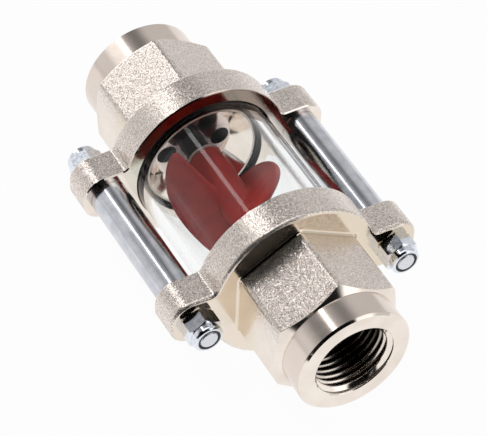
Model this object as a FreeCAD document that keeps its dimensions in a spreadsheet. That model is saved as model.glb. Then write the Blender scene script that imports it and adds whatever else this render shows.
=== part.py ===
import FreeCAD, Part
import math
import os

import Sketcher

# Impeller flow indicator for a half inch pipe: two plated brass sockets clamp a glass tube
# between rubber gaskets, and a two bladed impeller turns on a steel axle inside the glass.
# X is the flow axis, Y runs through the two tie studs, Z is up, and the origin is on the axis
# half way between the two sockets. Every size is in millimetres.

doc = FreeCAD.newDocument("impeller_flow_indicator")
sheet = doc.addObject("Spreadsheet::Sheet", "Sizes")

SIZES = [
    ("flange_gap", 36.6, "clear distance between the two flange faces"),
    ("flange_land", 3.4, "machined flange face outside the glass seat"),
    ("flange_thickness", 8.8, "flange and ears along the axis"),
    ("flange_edge_radius", 1.0, "cast round on the outward flange edge"),
    ("flange_face_chamfer", 0.3, "turned break of the machined flange face"),
    ("flange_root_radius", 0.8, "cast round between flange and hexagon"),
    ("stud_offset", 4.3, "stud centre beyond the flange rim"),
    ("ear_height", 12.8, "ear across its two long sides"),
    ("ear_overhang", 6.5, "stud centre to the outer end of the ear"),
    ("ear_corner_radius", 5.4, "outer corners of the ear"),
    ("ear_root_radius", 1.6, "cast round between ear and flange rim"),
    ("hexagon_length", 20.2, "spanner hexagon along the axis"),
    ("hexagon_across_flats", 31.0, "spanner size"),
    ("hexagon_corner_radius", 1.8, "cast round along the hexagon corners"),
    ("hexagon_bevel_angle", 30.0, "degrees of the turned bevel at the hexagon end"),
    ("collar_length", 7.5, "turned collar at the socket mouth"),
    ("collar_diameter", 30.1, "turned collar"),
    ("collar_chamfer", 0.6, "outer edge of the collar"),
    ("thread_major_diameter", 20.955, "half inch parallel pipe thread at its root"),
    ("thread_depth", 17.0, "threaded length of the socket"),
    ("thread_lead_in", 0.1, "lead in chamfer of the thread"),
    ("glass_diameter", 37.6, "outside of the glass tube"),
    ("glass_wall", 2.6, "wall of the glass tube"),
    ("glass_end_chamfer", 0.4, "ground edges of the glass tube"),
    ("glass_clearance", 0.2, "radial play of the glass in its seat"),
    ("seat_depth", 3.9, "glass seat below the flange face"),
    ("gasket_thickness", 2.0, "flat rubber gasket under the glass"),
    ("gasket_clearance", 0.1, "radial play of the gasket in its seat"),
    ("cup_rim_setback", 0.1, "rim of the flow cup below the flange face"),
    ("gasket_lip", 1.3, "gasket face left open inside the glass"),
    ("cup_rim_width", 0.5, "land between flow cup and gasket seat"),
    ("plate_setback", 5.4, "bearing plate below the flange face"),
    ("plate_diameter", 20.8, "bearing plate"),
    ("plate_thickness", 2.2, "bearing plate along the axis"),
    ("plate_clearance", 0.02, "radial play of the plate in its recess"),
    ("flow_hole_count", 6, "flow holes in a bearing plate"),
    ("flow_hole_diameter", 5.2, "one flow hole"),
    ("flow_hole_inset", 3.0, "flow hole centres in from the plate edge"),
    ("plate_ledge", 0.6, "ledge behind the plate edge"),
    ("boss_diameter", 6.6, "bearing boss at the plate"),
    ("boss_end_diameter", 5.8, "bearing boss at its free end"),
    ("bush_diameter", 4.0, "outside of the bearing bush"),
    ("bush_length", 4.0, "bearing bush along the axis"),
    ("bush_clearance", 0.02, "radial play of the bush in the boss"),
    ("bush_chamfer", 0.25, "edges of the bearing bush"),
    ("axle_diameter", 2.0, "steel axle"),
    ("axle_running_clearance", 0.03, "radial play of the axle in the bushes"),
    ("axle_reach", 3.2, "length of axle inside each bush"),
    ("axle_chamfer", 0.25, "ends of the axle"),
    ("axle_bond_gap", 0.02, "radial gap of the impeller and washers on the axle"),
    ("hub_setback", 0.55, "hub end inside the flange face"),
    ("hub_diameter", 8.8, "impeller hub"),
    ("hub_edge_radius", 0.4, "moulded edge at the hub ends"),
    ("blade_tip_gap", 2.7, "blade tip to the glass"),
    ("blade_thickness", 1.9, "blade across its faces"),
    ("blade_angle", 40.5, "degrees between a blade and the axis"),
    ("blade_phase", 220.2, "degrees from Y to the first blade"),
    ("blade_inner_edge", 0.8, "inner edge of a blade from the axis"),
    ("blade_corner_radius", 1.3, "moulded round at the two ends of a blade"),
    ("blade_edge_radius", 0.8, "moulded round along the blade outline"),
    ("blade_root_radius", 0.5, "moulded round where the blades meet the hub"),
    ("washer_diameter", 9.2, "thrust washer"),
    ("washer_thickness", 0.6, "thrust washer"),
    ("end_play", 0.3, "axial play at each end of the impeller"),
    ("sleeve_wall", 2.0, "wall of the spacer sleeve over each tie stud"),
    ("sleeve_chamfer", 0.3, "edges of the spacer sleeve"),
    ("stud_diameter", 5.0, "tie stud over its thread"),
    ("stud_clearance", 0.2, "radial play of the stud in ears and sleeve"),
    ("stud_projection", 0.1, "stud end beyond the lock nut"),
    ("stud_chamfer", 0.4, "ends of the tie stud"),
    ("nut_across_flats", 8.0, "lock nut"),
    ("nut_height", 6.5, "lock nut with its collar"),
    ("nut_hexagon_height", 4.6, "spanner height of the lock nut"),
    ("nut_corner_bevel", 0.45, "height of the bevel at the nut corners"),
    ("nut_collar_wall", 0.9, "wall of the lock nut collar round the insert"),
    ("nut_collar_round", 0.85, "rolled edge of the collar"),
    ("nut_thread_gap", 0.02, "radial gap of nut and insert on the stud"),
    ("insert_wall", 0.42, "wall of the plastic locking insert"),
    ("insert_height", 1.5, "plastic locking insert along the stud"),
    ("insert_gap", 0.02, "play of the insert in its nut"),
]

for row, (alias, value, meaning) in enumerate(SIZES, start=1):
    sheet.set(f"A{row}", alias)
    sheet.set(f"B{row}", str(value))
    sheet.setAlias(f"B{row}", alias)
    sheet.set(f"C{row}", meaning)
doc.recompute()

# Stations along the axis, from the middle of the glass to the socket mouth.
FACE = "Sizes.flange_gap / 2"
RIM = f"({FACE} + Sizes.cup_rim_setback)"
SEAT = f"({FACE} + Sizes.seat_depth)"
GLASS_END = f"({SEAT} - Sizes.gasket_thickness)"
PLATE = f"({FACE} + Sizes.plate_setback)"
PLATE_BACK = f"({PLATE} + Sizes.plate_thickness)"
FLANGE_FRONT = f"({FACE} + Sizes.flange_thickness)"
HEXAGON_END = f"({FLANGE_FRONT} + Sizes.hexagon_length)"
MOUTH = f"({HEXAGON_END} + Sizes.collar_length)"
THREAD_END = f"({MOUTH} - Sizes.thread_depth)"
HUB_END = f"({FACE} - Sizes.hub_setback)"
WASHER_END = f"({HUB_END} + Sizes.washer_thickness)"
BOSS_END = f"({WASHER_END} + Sizes.end_play)"
BUSH_END = f"({BOSS_END} + Sizes.bush_length)"
NUT_TOP = f"({FLANGE_FRONT} + Sizes.nut_height)"
STUD_END = f"({NUT_TOP} + Sizes.stud_projection)"

# Radii and places that two pieces share.
COLLAR_RADIUS = "Sizes.collar_diameter / 2"
THREAD_RADIUS = "Sizes.thread_major_diameter / 2"
GLASS_RADIUS = "Sizes.glass_diameter / 2"
GLASS_BORE = f"({GLASS_RADIUS} - Sizes.glass_wall)"
SEAT_RADIUS = f"({GLASS_RADIUS} + Sizes.glass_clearance)"
FLANGE_RADIUS = f"({SEAT_RADIUS} + Sizes.flange_land)"
STUD_PLACE = f"({FLANGE_RADIUS} + Sizes.stud_offset)"
RIM_RADIUS = f"({GLASS_BORE} - Sizes.gasket_lip)"
CUP_RADIUS = f"({RIM_RADIUS} - Sizes.cup_rim_width)"
PLATE_RADIUS = "Sizes.plate_diameter / 2"
PASSAGE_RADIUS = f"({PLATE_RADIUS} - Sizes.plate_ledge)"
BUSH_RADIUS = "Sizes.bush_diameter / 2"
AXLE_RADIUS = "Sizes.axle_diameter / 2"
AXLE_BORE = f"({AXLE_RADIUS} + Sizes.axle_bond_gap)"
HUB_RADIUS = "Sizes.hub_diameter / 2"
TIP_RADIUS = f"({GLASS_BORE} - Sizes.blade_tip_gap)"
STUD_RADIUS = "Sizes.stud_diameter / 2"
STUD_HOLE = f"({STUD_RADIUS} + Sizes.stud_clearance)"
SLEEVE_RADIUS = f"({STUD_HOLE} + Sizes.sleeve_wall)"
NUT_BORE = f"({STUD_RADIUS} + Sizes.nut_thread_gap)"
INSERT_RADIUS = f"({NUT_BORE} + Sizes.insert_wall)"
INSERT_SEAT = f"({INSERT_RADIUS} + Sizes.insert_gap)"
NUT_COLLAR_RADIUS = f"({INSERT_SEAT} + Sizes.nut_collar_wall)"


def size(alias):
    return float(sheet.get(alias))


def new_body(label, half_turn=False):
    """A body in the common frame, or turned half round the Z axis for the inlet side."""
    body = doc.addObject("PartDesign::Body", label)
    body.Label = label
    if half_turn:
        upright = FreeCAD.Vector(0, 0, 1)
        body.Placement = FreeCAD.Placement(FreeCAD.Vector(), FreeCAD.Rotation(upright, 180))
    return body


def new_sketch(body, name, role, offset=None):
    """A sketch on one of the body's own planes, moved along the plane's normal."""
    sketch = body.newObject("Sketcher::SketchObject", name)
    planes = [feature for feature in body.Origin.OriginFeatures if feature.Role == role]
    sketch.AttachmentSupport = [(planes[0], "")]
    sketch.MapMode = "FlatFace"
    if offset:
        sketch.setExpression("AttachmentOffset.Base.z", offset)
    return sketch


def bind(sketch, constraint, expression):
    """Add a dimension to the sketch and drive it from the sheet."""
    index = sketch.addConstraint(constraint)
    sketch.setExpression(f"Constraints[{index}]", expression)


def draw_profile(sketch, corners):
    """Closed outline of straight lines through corners given as pairs of expressions."""
    count = len(corners)
    step = 2 * math.pi / count
    angles = [step * i for i in range(count)]
    start = [FreeCAD.Vector(10 + 5 * math.cos(angle), 10 + 5 * math.sin(angle), 0) for angle in angles]
    for i in range(count):
        sketch.addGeometry(Part.LineSegment(start[i], start[(i + 1) % count]))
    for i in range(count):
        sketch.addConstraint(Sketcher.Constraint("Coincident", i, 2, (i + 1) % count, 1))
    for i, (along, outward) in enumerate(corners):
        bind(sketch, Sketcher.Constraint("DistanceX", -1, 1, i, 1, start[i].x), along)
        bind(sketch, Sketcher.Constraint("DistanceY", -1, 1, i, 1, start[i].y), outward)


def draw_circle(sketch, radius, along="0", upward="0"):
    """Circle of a given radius, centred on the sketch origin or at a given place."""
    index = sketch.addGeometry(Part.Circle(FreeCAD.Vector(1, 1, 0), FreeCAD.Vector(0, 0, 1), 5))
    bind(sketch, Sketcher.Constraint("DistanceX", -1, 1, index, 3, 1), along)
    bind(sketch, Sketcher.Constraint("DistanceY", -1, 1, index, 3, 1), upward)
    bind(sketch, Sketcher.Constraint("Radius", index, 5), radius)


def draw_hexagon(sketch, across_flats):
    """Regular hexagon about the sketch origin with two flats square to the sketch X axis."""
    angles = [math.radians(30 + 60 * i) for i in range(6)]
    ring = [FreeCAD.Vector(10 * math.cos(angle), 10 * math.sin(angle), 0) for angle in angles]
    for i in range(6):
        sketch.addGeometry(Part.LineSegment(ring[i], ring[(i + 1) % 6]))
    circle = sketch.addGeometry(Part.Circle(FreeCAD.Vector(), FreeCAD.Vector(0, 0, 1), 10), True)
    sketch.addConstraint(Sketcher.Constraint("Coincident", circle, 3, -1, 1))
    for i in range(6):
        sketch.addConstraint(Sketcher.Constraint("Coincident", i, 2, (i + 1) % 6, 1))
        sketch.addConstraint(Sketcher.Constraint("PointOnObject", i, 1, circle))
    for i in range(5):
        sketch.addConstraint(Sketcher.Constraint("Equal", i, i + 1))
    sketch.addConstraint(Sketcher.Constraint("Vertical", 5))
    flat = 10 * math.cos(math.pi / 6)
    bind(sketch, Sketcher.Constraint("Distance", -1, 1, 5, flat), f"{across_flats} / 2")


def draw_bar(sketch, width, height):
    """Rectangle centred on the sketch origin."""
    across, up = 5, 3
    corners = [(-across, -up), (across, -up), (across, up), (-across, up)]
    ring = [FreeCAD.Vector(x, y, 0) for x, y in corners]
    for i in range(4):
        sketch.addGeometry(Part.LineSegment(ring[i], ring[(i + 1) % 4]))
    for i in range(4):
        sketch.addConstraint(Sketcher.Constraint("Coincident", i, 2, (i + 1) % 4, 1))
    for i in (0, 2):
        sketch.addConstraint(Sketcher.Constraint("Horizontal", i))
    for i in (1, 3):
        sketch.addConstraint(Sketcher.Constraint("Vertical", i))
    sketch.addConstraint(Sketcher.Constraint("Symmetric", 0, 1, 2, 1, -1, 1))
    bind(sketch, Sketcher.Constraint("DistanceX", 0, 1, 0, 2, 2 * across), width)
    bind(sketch, Sketcher.Constraint("DistanceY", 1, 1, 1, 2, 2 * up), height)


def pad(body, name, sketch, length):
    feature = body.newObject("PartDesign::Pad", name)
    feature.Profile = sketch
    feature.setExpression("Length", length)
    doc.recompute()
    return feature


def turn(body, name, sketch, kind="PartDesign::Revolution"):
    """Turned form about the flow axis, added as a Revolution or cut as a Groove."""
    feature = body.newObject(kind, name)
    feature.Profile = sketch
    feature.ReferenceAxis = (sketch, ["H_Axis"])
    feature.Angle = 360
    doc.recompute()
    return feature


def edges_where(feature, test):
    """Names of the feature's edges whose middle point passes the test."""
    names = []
    for number, edge in enumerate(feature.Shape.Edges, start=1):
        middle = edge.valueAt((edge.FirstParameter + edge.LastParameter) / 2)
        if test(edge, middle):
            names.append(f"Edge{number}")
    return names


def round_edges(body, name, base, test, radius):
    feature = body.newObject("PartDesign::Fillet", name)
    feature.Base = (base, edges_where(base, test))
    feature.setExpression("Radius", radius)
    doc.recompute()
    return feature


def bevel_edges(body, name, base, test, width):
    feature = body.newObject("PartDesign::Chamfer", name)
    feature.Base = (base, edges_where(base, test))
    feature.setExpression("Size", width)
    doc.recompute()
    return feature


# Two places on an edge this close together are the same place.
SLACK = 0.02


def near(value, wanted):
    return abs(value - wanted) < SLACK


def turned_ring(label, inner, outer, start, end, bevel=None, half_turn=False):
    """Plain turned ring about the flow axis, with its outer edges bevelled if asked."""
    body = new_body(label, half_turn)
    sketch = new_sketch(body, f"{label}_section", "XY_Plane")
    draw_profile(sketch, [(start, inner), (end, inner), (end, outer), (start, outer)])
    ring = turn(body, f"{label}_ring", sketch)
    if bevel:
        outside = max(vertex.Point.y for vertex in ring.Shape.Vertexes)

        def outer_edge(edge, middle):
            return near(radius_of(middle), outside)

        bevel_edges(body, f"{label}_bevel", ring, outer_edge, bevel)
    return body


def radius_of(point):
    """Distance of a point from the flow axis."""
    return math.hypot(point.y, point.z)


# The ear corners are rounded no further than its height allows, and the flange edge no further than
# the land round the hexagon allows.
EAR_CORNER = "min(Sizes.ear_corner_radius; 0.45 * Sizes.ear_height)"
HEXAGON_CORNER = "Sizes.hexagon_across_flats / 2 / cos(30 deg)"
FLANGE_EDGE = f"min(Sizes.flange_edge_radius; 0.4 * ({FLANGE_RADIUS} - {HEXAGON_CORNER}))"


# Socket bodies. Each is a plated brass forging: a round flange with two ears, a spanner hexagon
# with a turned end bevel, and a turned collar. The turned inside holds the pipe thread, the recess
# of the bearing plate, the flared flow cup and the ring shaped seat of the glass.
def make_socket(label, half_turn):
    body = new_body(label, half_turn)
    face = size("flange_gap") / 2
    front = face + size("flange_thickness")
    shoulder = front + size("hexagon_length")
    ear_half = size("ear_height") / 2
    rim = size("glass_diameter") / 2 + size("glass_clearance") + size("flange_land")
    ear_tip = rim + size("stud_offset") + size("ear_overhang")
    flat = size("hexagon_across_flats") / 2
    corner = flat / math.cos(math.pi / 6)

    ear_sketch = new_sketch(body, f"{label}_ear_outline", "YZ_Plane", FACE)
    draw_bar(ear_sketch, f"2 * ({STUD_PLACE} + Sizes.ear_overhang)", "Sizes.ear_height")
    ears = pad(body, f"{label}_ears", ear_sketch, "Sizes.flange_thickness")

    def ear_corner(edge, middle):
        return near(abs(middle.y), ear_tip) and near(abs(middle.z), ear_half)

    round_edges(body, f"{label}_ear_corners", ears, ear_corner, EAR_CORNER)

    flange_sketch = new_sketch(body, f"{label}_flange_outline", "YZ_Plane", FACE)
    draw_circle(flange_sketch, FLANGE_RADIUS)
    flange = pad(body, f"{label}_flange", flange_sketch, "Sizes.flange_thickness")

    def ear_root(edge, middle):
        along_axis = near(middle.x, (face + front) / 2)
        return along_axis and near(radius_of(middle), rim) and near(abs(middle.z), ear_half)

    roots = round_edges(body, f"{label}_ear_roots", flange, ear_root, "Sizes.ear_root_radius")

    def outward_edge(edge, middle):
        return near(middle.x, front) and radius_of(middle) > corner

    rounded = round_edges(body, f"{label}_flange_edge", roots, outward_edge, FLANGE_EDGE)

    def face_edge(edge, middle):
        return near(middle.x, face) and radius_of(middle) > corner

    bevel_edges(body, f"{label}_face_edge", rounded, face_edge, "Sizes.flange_face_chamfer")

    hexagon_sketch = new_sketch(body, f"{label}_hexagon_outline", "YZ_Plane", FLANGE_FRONT)
    draw_hexagon(hexagon_sketch, "Sizes.hexagon_across_flats")
    hexagon = pad(body, f"{label}_hexagon", hexagon_sketch, "Sizes.hexagon_length")

    def hexagon_corner(edge, middle):
        return near(middle.x, (front + shoulder) / 2) and near(radius_of(middle), corner)

    corners = round_edges(
        body, f"{label}_hexagon_corners", hexagon, hexagon_corner, "Sizes.hexagon_corner_radius"
    )

    def hexagon_root(edge, middle):
        return near(middle.x, front) and flat - SLACK < radius_of(middle) < corner + SLACK

    round_edges(body, f"{label}_hexagon_root", corners, hexagon_root, "Sizes.flange_root_radius")

    bevel_sketch = new_sketch(body, f"{label}_hexagon_bevel_section", "XY_Plane")
    bevel_width = "Sizes.hexagon_across_flats / 4"
    bevel_depth = f"{bevel_width} * tan(Sizes.hexagon_bevel_angle * 1 deg)"
    draw_profile(
        bevel_sketch,
        [
            (HEXAGON_END, COLLAR_RADIUS),
            (HEXAGON_END, f"{COLLAR_RADIUS} + {bevel_width}"),
            (f"{HEXAGON_END} - {bevel_depth}", f"{COLLAR_RADIUS} + {bevel_width}"),
        ],
    )
    turn(body, f"{label}_hexagon_bevel", bevel_sketch, "PartDesign::Groove")

    collar_sketch = new_sketch(body, f"{label}_collar_outline", "YZ_Plane", HEXAGON_END)
    draw_circle(collar_sketch, COLLAR_RADIUS)
    collar = pad(body, f"{label}_collar", collar_sketch, "Sizes.collar_length")
    mouth = shoulder + size("collar_length")

    def collar_edge(edge, middle):
        return near(middle.x, mouth)

    bevel_edges(body, f"{label}_collar_edge", collar, collar_edge, "Sizes.collar_chamfer")

    inside = new_sketch(body, f"{label}_inside_section", "XY_Plane")
    draw_profile(
        inside,
        [
            (FACE, "0"),
            (MOUTH, "0"),
            (MOUTH, f"{THREAD_RADIUS} + Sizes.thread_lead_in"),
            (f"{MOUTH} - Sizes.thread_lead_in", THREAD_RADIUS),
            (THREAD_END, THREAD_RADIUS),
            (f"{THREAD_END} - ({THREAD_RADIUS} - {PASSAGE_RADIUS})", PASSAGE_RADIUS),
            (PLATE_BACK, PASSAGE_RADIUS),
            (PLATE_BACK, f"{PLATE_RADIUS} + Sizes.plate_clearance"),
            (PLATE, f"{PLATE_RADIUS} + Sizes.plate_clearance"),
            (RIM, CUP_RADIUS),
            (RIM, RIM_RADIUS),
            (SEAT, RIM_RADIUS),
            (SEAT, SEAT_RADIUS),
            (FACE, SEAT_RADIUS),
        ],
    )
    turn(body, f"{label}_inside", inside, "PartDesign::Groove")

    hole_sketch = new_sketch(body, f"{label}_stud_holes_outline", "YZ_Plane", FACE)
    for side in (1, -1):
        draw_circle(hole_sketch, STUD_HOLE, f"{side} * {STUD_PLACE}")
    holes = body.newObject("PartDesign::Pocket", f"{label}_stud_holes")
    holes.Profile = hole_sketch
    holes.Reversed = True
    holes.setExpression("Length", "Sizes.flange_thickness")
    doc.recompute()
    return body


# Bearing plates. Each is a turned disc pressed into its socket, with a ring of flow holes and a
# slightly tapered boss that carries the bearing bush in a blind bore.
def make_bearing_plate(label, half_turn):
    body = new_body(label, half_turn)
    section = new_sketch(body, f"{label}_section", "XY_Plane")
    bush_bore = f"{BUSH_RADIUS} + Sizes.bush_clearance"
    draw_profile(
        section,
        [
            (BOSS_END, bush_bore),
            (BUSH_END, bush_bore),
            (BUSH_END, "0"),
            (PLATE_BACK, "0"),
            (PLATE_BACK, PLATE_RADIUS),
            (PLATE, PLATE_RADIUS),
            (PLATE, "Sizes.boss_diameter / 2"),
            (BOSS_END, "Sizes.boss_end_diameter / 2"),
        ],
    )
    turn(body, f"{label}_disc", section)
    hole_sketch = new_sketch(body, f"{label}_hole_outline", "YZ_Plane", PLATE)
    draw_circle(hole_sketch, "Sizes.flow_hole_diameter / 2", f"{PLATE_RADIUS} - Sizes.flow_hole_inset")
    hole = body.newObject("PartDesign::Pocket", f"{label}_hole")
    hole.Profile = hole_sketch
    hole.Reversed = True
    hole.setExpression("Length", "Sizes.plate_thickness")
    doc.recompute()
    ring = body.newObject("PartDesign::PolarPattern", f"{label}_holes")
    ring.Originals = [hole]
    ring.Axis = (hole_sketch, ["N_Axis"])
    ring.Angle = 360
    ring.setExpression("Occurrences", "Sizes.flow_hole_count")
    body.Tip = ring
    doc.recompute()
    return body


# The blade edges are rounded no further than the blade's thickness allows.
BLADE_EDGE = "min(Sizes.blade_edge_radius; 0.45 * Sizes.blade_thickness)"


# Impeller. One red moulding: a long hub and two flat blades on opposite sides of it, which lean to
# opposite sides of the axis like the blades of a propeller. Each blade is half an ellipse, so that
# its outline runs parallel to the glass, and its corners, edges and roots have moulded rounds.
def make_impeller():
    body = new_body("impeller")
    flow_axis = FreeCAD.Vector(1, 0, 0)
    body.Placement = FreeCAD.Placement(FreeCAD.Vector(), FreeCAD.Rotation(flow_axis, 1))
    body.setExpression("Placement.Rotation.Angle", "Sizes.blade_phase")
    for name, side in (("first", 1), ("second", -1)):
        leaf = new_sketch(body, f"{name}_blade_leaf", "XY_Plane")
        across = FreeCAD.Vector(0, -side, 0)
        leaf.AttachmentOffset = FreeCAD.Placement(FreeCAD.Vector(), FreeCAD.Rotation(across, 1))
        leaf.setExpression("AttachmentOffset.Rotation.Angle", "Sizes.blade_angle")
        draw_leaf(leaf, side)
        blades = pad(body, f"{name}_blade", leaf, "Sizes.blade_thickness")
        blades.SideType = "Symmetric"
    doc.recompute()
    lean = math.radians(size("blade_angle"))
    inner = size("blade_inner_edge")

    def blade_depth(point):
        """Distance of a point from the middle plane of its blade."""
        side = math.copysign(1, point.y)
        return abs(point.z * math.cos(lean) - side * point.x * math.sin(lean))

    def blade_corner(edge, middle):
        return near(abs(middle.y), inner) and near(blade_depth(middle), 0)

    corners = round_edges(body, "blade_corners", blades, blade_corner, "Sizes.blade_corner_radius")

    def blade_edge(edge, middle):
        return near(blade_depth(middle), size("blade_thickness") / 2)

    round_edges(body, "blade_edges", corners, blade_edge, BLADE_EDGE)

    hub_sketch = new_sketch(body, "hub_section", "XY_Plane")
    draw_profile(
        hub_sketch,
        [(f"-{HUB_END}", "0"), (HUB_END, "0"), (HUB_END, HUB_RADIUS), (f"-{HUB_END}", HUB_RADIUS)],
    )
    hub = turn(body, "hub", hub_sketch)
    hub_end = size("flange_gap") / 2 - size("hub_setback")

    def hub_edge(edge, middle):
        return near(abs(middle.x), hub_end) and near(radius_of(middle), size("hub_diameter") / 2)

    rounded = round_edges(body, "hub_edges", hub, hub_edge, "Sizes.hub_edge_radius")

    def blade_root(edge, middle):
        on_hub = near(radius_of(middle), size("hub_diameter") / 2)
        return on_hub and abs(middle.x) < hub_end - SLACK and edge.Curve.TypeId != "Part::GeomLine"

    round_edges(body, "blade_roots", rounded, blade_root, "Sizes.blade_root_radius")

    bore_sketch = new_sketch(body, "axle_bore_section", "XY_Plane")
    draw_profile(
        bore_sketch,
        [(f"-{HUB_END}", "0"), (HUB_END, "0"), (HUB_END, AXLE_BORE), (f"-{HUB_END}", AXLE_BORE)],
    )
    turn(body, "axle_bore", bore_sketch, "PartDesign::Groove")
    return body


def draw_leaf(sketch, side):
    """Half ellipse where a leaning plane meets the tip cylinder, closed by a straight inner edge."""
    height = size("glass_diameter") / 2 - size("glass_wall") - size("blade_tip_gap")
    half_length = height / math.sin(math.radians(size("blade_angle")))
    edge_at = math.asin(size("blade_inner_edge") / height)
    ellipse = Part.Ellipse(FreeCAD.Vector(), half_length, height)
    sweep = (edge_at, math.pi - edge_at) if side > 0 else (math.pi + edge_at, 2 * math.pi - edge_at)
    outline = Part.ArcOfEllipse(ellipse, *sweep)
    arc = sketch.addGeometry(outline)
    sketch.exposeInternalGeometry(arc)
    long_axis, short_axis = arc + 1, arc + 2
    chord = sketch.addGeometry(Part.LineSegment(outline.EndPoint, outline.StartPoint))
    sketch.addConstraint(Sketcher.Constraint("Coincident", arc, 3, -1, 1))
    sketch.addConstraint(Sketcher.Constraint("Horizontal", long_axis))
    sketch.addConstraint(Sketcher.Constraint("Coincident", arc, 2, chord, 1))
    sketch.addConstraint(Sketcher.Constraint("Coincident", chord, 2, arc, 1))
    sketch.addConstraint(Sketcher.Constraint("Horizontal", chord))
    bind(
        sketch,
        Sketcher.Constraint("Distance", long_axis, 2 * half_length),
        f"2 * {TIP_RADIUS} / sin(Sizes.blade_angle * 1 deg)",
    )
    bind(sketch, Sketcher.Constraint("Distance", short_axis, 2 * height), f"2 * {TIP_RADIUS}")
    bind(
        sketch,
        Sketcher.Constraint("DistanceY", -1, 1, chord, 1, side * size("blade_inner_edge")),
        f"{side} * Sizes.blade_inner_edge",
    )


# Axle. A straight steel pin through the hub, with bevelled ends that turn in the two bushes.
def make_axle():
    axle_end = f"({BOSS_END} + Sizes.axle_reach)"
    body = new_body("impeller_axle")
    section = new_sketch(body, "axle_section", "XY_Plane")
    draw_profile(
        section,
        [
            (f"-{axle_end}", "0"),
            (axle_end, "0"),
            (axle_end, f"{AXLE_RADIUS} - Sizes.axle_chamfer"),
            (f"{axle_end} - Sizes.axle_chamfer", AXLE_RADIUS),
            (f"-{axle_end} + Sizes.axle_chamfer", AXLE_RADIUS),
            (f"-{axle_end}", f"{AXLE_RADIUS} - Sizes.axle_chamfer"),
        ],
    )
    turn(body, "axle", section)
    return body


# Tie studs with their spacer sleeves. The sleeves keep the flanges apart by the flange gap, so the
# nuts can be drawn tight without loading the glass.
def make_tie_stud(label, side):
    body = new_body(label)
    section = new_sketch(body, f"{label}_section", "XY_Plane")
    draw_profile(
        section,
        [
            (f"-{STUD_END}", "0"),
            (STUD_END, "0"),
            (STUD_END, f"{STUD_RADIUS} - Sizes.stud_chamfer"),
            (f"{STUD_END} - Sizes.stud_chamfer", STUD_RADIUS),
            (f"-{STUD_END} + Sizes.stud_chamfer", STUD_RADIUS),
            (f"-{STUD_END}", f"{STUD_RADIUS} - Sizes.stud_chamfer"),
        ],
    )
    turn(body, f"{label}_rod", section)
    body.setExpression("Placement.Base.y", f"{side} * {STUD_PLACE}")
    return body


def make_sleeve(label, side):
    body = turned_ring(label, STUD_HOLE, SLEEVE_RADIUS, f"-{FACE}", FACE, "Sizes.sleeve_chamfer")
    body.setExpression("Placement.Base.y", f"{side} * {STUD_PLACE}")
    return body


# Lock nuts. A hexagon with bevelled corners and a rolled collar, which holds a plastic ring that
# grips the stud. One nut is modelled at the outlet end of the right stud and mirrored to the rest.
def make_lock_nut():
    body = new_body("lock_nut")
    front = size("flange_gap") / 2 + size("flange_thickness")
    outline = new_sketch(body, "nut_outline", "YZ_Plane", FLANGE_FRONT)
    draw_hexagon(outline, "Sizes.nut_across_flats")
    pad(body, "nut_hexagon", outline, "Sizes.nut_hexagon_height")

    hexagon_top = f"({FLANGE_FRONT} + Sizes.nut_hexagon_height)"
    bevel_start = "Sizes.nut_across_flats / 2"
    bevel_width = f"({bevel_start} / cos(30 deg) - {bevel_start})"
    for name, edge_at, inward in (("lower", FLANGE_FRONT, "+"), ("upper", hexagon_top, "-")):
        section = new_sketch(body, f"nut_{name}_bevel_section", "XY_Plane")
        draw_profile(
            section,
            [
                (edge_at, bevel_start),
                (edge_at, f"{bevel_start} + 2 * {bevel_width}"),
                (f"{edge_at} {inward} 2 * Sizes.nut_corner_bevel", f"{bevel_start} + 2 * {bevel_width}"),
            ],
        )
        turn(body, f"nut_{name}_bevel", section, "PartDesign::Groove")

    collar_sketch = new_sketch(body, "nut_collar_outline", "YZ_Plane", hexagon_top)
    draw_circle(collar_sketch, NUT_COLLAR_RADIUS)
    collar = pad(body, "nut_collar", collar_sketch, "Sizes.nut_height - Sizes.nut_hexagon_height")
    top = front + size("nut_height")

    def collar_edge(edge, middle):
        return near(middle.x, top)

    round_edges(body, "nut_collar_round", collar, collar_edge, "Sizes.nut_collar_round")

    bore_sketch = new_sketch(body, "nut_bore_section", "XY_Plane")
    insert_seat = f"({NUT_TOP} - Sizes.insert_height - Sizes.insert_gap)"
    draw_profile(
        bore_sketch,
        [
            (FLANGE_FRONT, "0"),
            (NUT_TOP, "0"),
            (NUT_TOP, INSERT_SEAT),
            (insert_seat, INSERT_SEAT),
            (insert_seat, NUT_BORE),
            (FLANGE_FRONT, NUT_BORE),
        ],
    )
    turn(body, "nut_bore", bore_sketch, "PartDesign::Groove")
    return body


def make_lock_insert():
    return turned_ring("lock_insert", NUT_BORE, INSERT_RADIUS, f"{NUT_TOP} - Sizes.insert_height", NUT_TOP)


def four_of(label, piece):
    """The piece moved to the right stud and mirrored to both ends of both studs."""
    piece.setExpression("Placement.Base.y", STUD_PLACE)
    pair = mirrored_pair(f"{label}_right", piece, FreeCAD.Vector(1, 0, 0))
    return mirrored_pair(label, pair, FreeCAD.Vector(0, 1, 0))


def mirrored_pair(label, source, normal):
    mirror = doc.addObject("Part::Mirroring", f"{label}_mirror")
    mirror.Source = source
    mirror.Normal = normal
    both = doc.addObject("Part::Compound", label)
    both.Label = label
    both.Links = [source, mirror]
    doc.recompute()
    return both


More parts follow.
